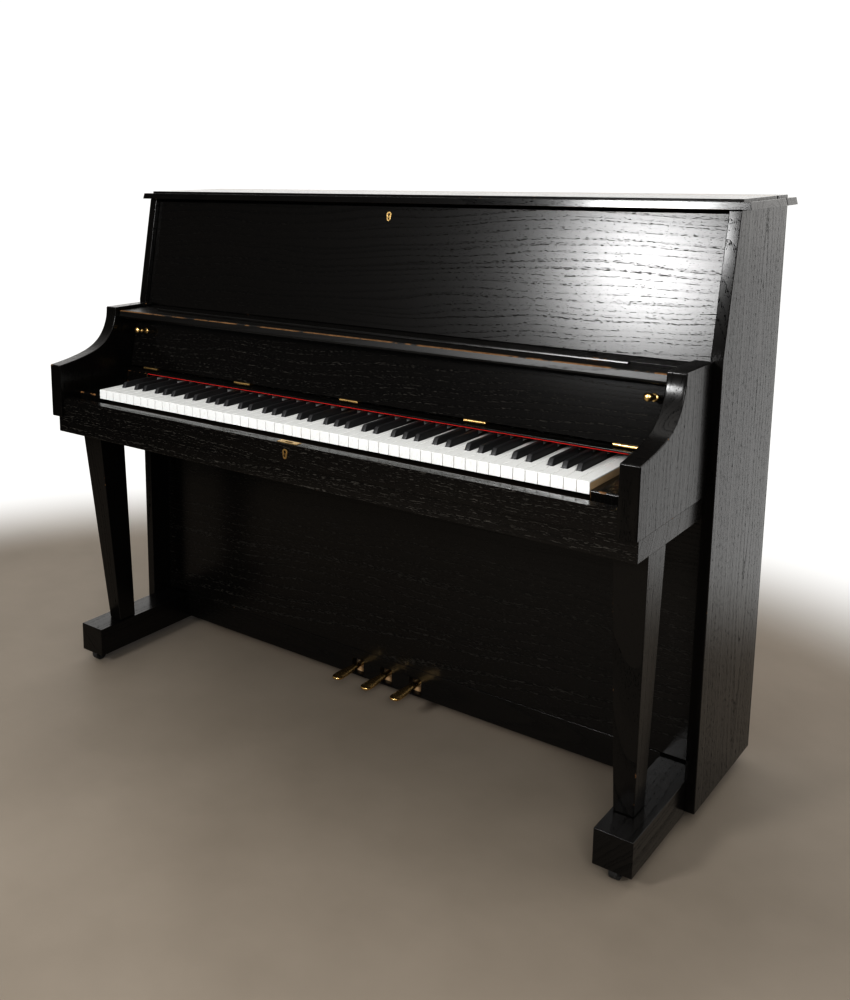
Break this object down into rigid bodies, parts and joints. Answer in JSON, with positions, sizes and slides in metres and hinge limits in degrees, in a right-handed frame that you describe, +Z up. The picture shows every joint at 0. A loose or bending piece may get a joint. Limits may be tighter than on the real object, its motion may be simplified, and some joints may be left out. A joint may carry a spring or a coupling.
{
  "type": "upright piano",
  "caption": "Upright studio piano in black open-grain oak: full keyboard, folding fallboard, tilting panels, hinged lid, pedals and casters.",
  "frame": {"origin": "on the floor, in the middle of the footprint", "axes": "+X to the player's right (treble), +Y to the back, +Z up"},
  "size_m": [1.5048, 0.629, 1.168],
  "materials": {
    "ebony_wood": "open-grain oak stained black, satin lacquer",
    "back_wood": "plain sawn hardwood, thin clear lacquer",
    "pale_wood": "planed maple and beech, oiled",
    "spruce": "quarter-sawn spruce, clear varnish",
    "key_white": "gloss",
    "key_black": "satin",
    "brass": "polished, slightly tarnished",
    "steel": "bright drawn",
    "gilt_iron": "bronze lacquer",
    "black_metal": "semi-gloss black",
    "caster_rubber": "hard rubber tread",
    "rubber": "matte",
    "red_felt": "pressed wool felt",
    "white_felt": "pressed wool felt"
  },
  "bodies": {
    "case": {"action_frame": "pale_wood", "arm_left": "ebony_wood", "arm_right": "ebony_wood", "back_frame": "back_wood", "bottom_board": "back_wood", "bottom_rail": "ebony_wood", "bridges": "pale_wood", "caster_forks_rear": "black_metal", "dampers": "white_felt", "front_legs": "ebony_wood", "hammers": "white_felt", "iron_plate": "gilt_iron", "key_bed": "ebony_wood", "key_block_bumpers": "rubber", "key_blocks": "ebony_wood", "key_felt": "red_felt", "key_frame": "pale_wood", "keyslip": "ebony_wood", "keyslip_lock": "brass", "leaf_hinge_plates": "brass", "lid_hinge_fixed": "brass", "lid_rear": "ebony_wood", "music_shelf": "ebony_wood", "name_rail": "ebony_wood", "pedal_brackets": "steel", "pin_block": "pale_wood", "side_panel_left": "ebony_wood", "side_panel_right": "ebony_wood", "soundboard": "spruce", "strings": "steel", "toe_beams": "ebony_wood", "tuning_pins": "steel", "wippens": "pale_wood"},
    "lid": {"lid_front": "ebony_wood", "lid_hinge_moving": "brass"},
    "upper_panel": {"upper_panel": "ebony_wood", "panel_lock": "brass"},
    "lower_panel": {"lower_panel": "ebony_wood"},
    "fallboard": {"fallboard_main_leaf": "ebony_wood", "leaf_hinge_flaps": "brass", "fallboard_knobs": "brass", "fold_hinge_plates": "brass"},
    "fallboard_nose": {"fallboard_front_leaf": "ebony_wood", "music_stop": "ebony_wood", "fold_hinge_flaps": "brass"},
    "white_keys": {"white_keys": "key_white"},
    "black_keys": {"black_keys": "key_black"},
    "pedal_left": {"pedal_left": "brass"},
    "pedal_middle": {"pedal_middle": "brass"},
    "pedal_right": {"pedal_right": "brass"},
    "caster_fork_left": {"caster_fork_front_left": "black_metal"},
    "caster_fork_right": {"caster_fork_front_right": "black_metal"},
    "caster_wheel_left": {"caster_wheel_front_left": "caster_rubber"},
    "caster_wheel_right": {"caster_wheel_front_right": "caster_rubber"},
    "caster_wheels_rear": {"caster_wheels_rear": "caster_rubber"},
    "key_c_middle": {"key_c_middle": "key_white"},
    "key_c_sharp_middle": {"key_c_sharp_middle": "key_black"},
    "key_d_middle": {"key_d_middle": "key_white"},
    "key_d_sharp_middle": {"key_d_sharp_middle": "key_black"},
    "key_e_middle": {"key_e_middle": "key_white"}
  },
  "joints": [
    {"name": "lid_hinge", "type": "hinge", "parent": "case", "child": "lid", "pos_m": [0, 0.25, 1.1655], "axis": [1, 0, 0], "range_deg": [-100, 0]},
    {"name": "upper_panel_tilt", "type": "hinge", "parent": "case", "child": "upper_panel", "pos_m": [0, 0.006, 0.8817], "axis": [1, 0, 0], "range_deg": [0, 40]},
    {"name": "lower_panel_tilt", "type": "hinge", "parent": "case", "child": "lower_panel", "pos_m": [0, 0.056, 0.0965], "axis": [1, 0, 0], "range_deg": [0, 20]},
    {"name": "fallboard_fold", "type": "hinge", "parent": "case", "child": "fallboard", "pos_m": [0, -0.0926, 0.738], "axis": [1, 0, 0], "range_deg": [0, 104]},
    {"name": "fallboard_nose_fold", "type": "hinge", "parent": "fallboard", "child": "fallboard_nose", "pos_m": [0, -0.04539, 0.8641], "axis": [1, 0, 0], "range_deg": [-54, 0]},
    {"name": "white_keys_press", "type": "hinge", "parent": "case", "child": "white_keys", "pos_m": [0, -0.0295, 0.69], "axis": [1, 0, 0], "range_deg": [0, 2.5], "stiffness_Nm_per_rad": 600, "springref_deg": -2.86},
    {"name": "black_keys_press", "type": "hinge", "parent": "case", "child": "black_keys", "pos_m": [0, -0.0295, 0.69], "axis": [1, 0, 0], "range_deg": [0, 2.5], "stiffness_Nm_per_rad": 400, "springref_deg": -2.86},
    {"name": "key_c_middle_press", "type": "hinge", "parent": "case", "child": "key_c_middle", "pos_m": [0, -0.0295, 0.69], "axis": [1, 0, 0], "range_deg": [0, 2.5], "stiffness_Nm_per_rad": 14, "springref_deg": -2.86},
    {"name": "key_c_sharp_middle_press", "type": "hinge", "parent": "case", "child": "key_c_sharp_middle", "pos_m": [0, -0.0295, 0.69], "axis": [1, 0, 0], "range_deg": [0, 2.5], "stiffness_Nm_per_rad": 14, "springref_deg": -2.86},
    {"name": "key_d_middle_press", "type": "hinge", "parent": "case", "child": "key_d_middle", "pos_m": [0, -0.0295, 0.69], "axis": [1, 0, 0], "range_deg": [0, 2.5], "stiffness_Nm_per_rad": 14, "springref_deg": -2.86},
    {"name": "key_d_sharp_middle_press", "type": "hinge", "parent": "case", "child": "key_d_sharp_middle", "pos_m": [0, -0.0295, 0.69], "axis": [1, 0, 0], "range_deg": [0, 2.5], "stiffness_Nm_per_rad": 14, "springref_deg": -2.86},
    {"name": "key_e_middle_press", "type": "hinge", "parent": "case", "child": "key_e_middle", "pos_m": [0, -0.0295, 0.69], "axis": [1, 0, 0], "range_deg": [0, 2.5], "stiffness_Nm_per_rad": 14, "springref_deg": -2.86},
    {"name": "pedal_left_press", "type": "hinge", "parent": "case", "child": "pedal_left", "pos_m": [-0.08, 0.156, 0.058], "axis": [1, 0, 0], "range_deg": [0, 5.5], "stiffness_Nm_per_rad": 60, "springref_deg": -6.88},
    {"name": "pedal_middle_press", "type": "hinge", "parent": "case", "child": "pedal_middle", "pos_m": [0, 0.156, 0.058], "axis": [1, 0, 0], "range_deg": [0, 5.5], "stiffness_Nm_per_rad": 60, "springref_deg": -6.88},
    {"name": "pedal_right_press", "type": "hinge", "parent": "case", "child": "pedal_right", "pos_m": [0.08, 0.156, 0.058], "axis": [1, 0, 0], "range_deg": [0, 5.5], "stiffness_Nm_per_rad": 60, "springref_deg": -6.88},
    {"name": "caster_swivel_left", "type": "hinge", "parent": "case", "child": "caster_fork_left", "pos_m": [-0.68051, -0.219, 0.024], "axis": [0, 0, 1], "continuous": true},
    {"name": "caster_roll_left", "type": "hinge", "parent": "caster_fork_left", "child": "caster_wheel_left", "pos_m": [-0.68051, -0.231, 0.017], "axis": [1, 0, 0], "continuous": true},
    {"name": "caster_swivel_right", "type": "hinge", "parent": "case", "child": "caster_fork_right", "pos_m": [0.68051, -0.219, 0.024], "axis": [0, 0, 1], "continuous": true},
    {"name": "caster_roll_right", "type": "hinge", "parent": "caster_fork_right", "child": "caster_wheel_right", "pos_m": [0.68051, -0.231, 0.017], "axis": [1, 0, 0], "continuous": true},
    {"name": "casters_rear_roll", "type": "hinge", "parent": "case", "child": "caster_wheels_rear", "pos_m": [0, 0.258, 0.017], "axis": [1, 0, 0], "continuous": true}
  ],
  "couplings": [
    {"joint": "fallboard_nose_fold", "follows": "fallboard_fold", "ratio": -0.51923}
  ]
}
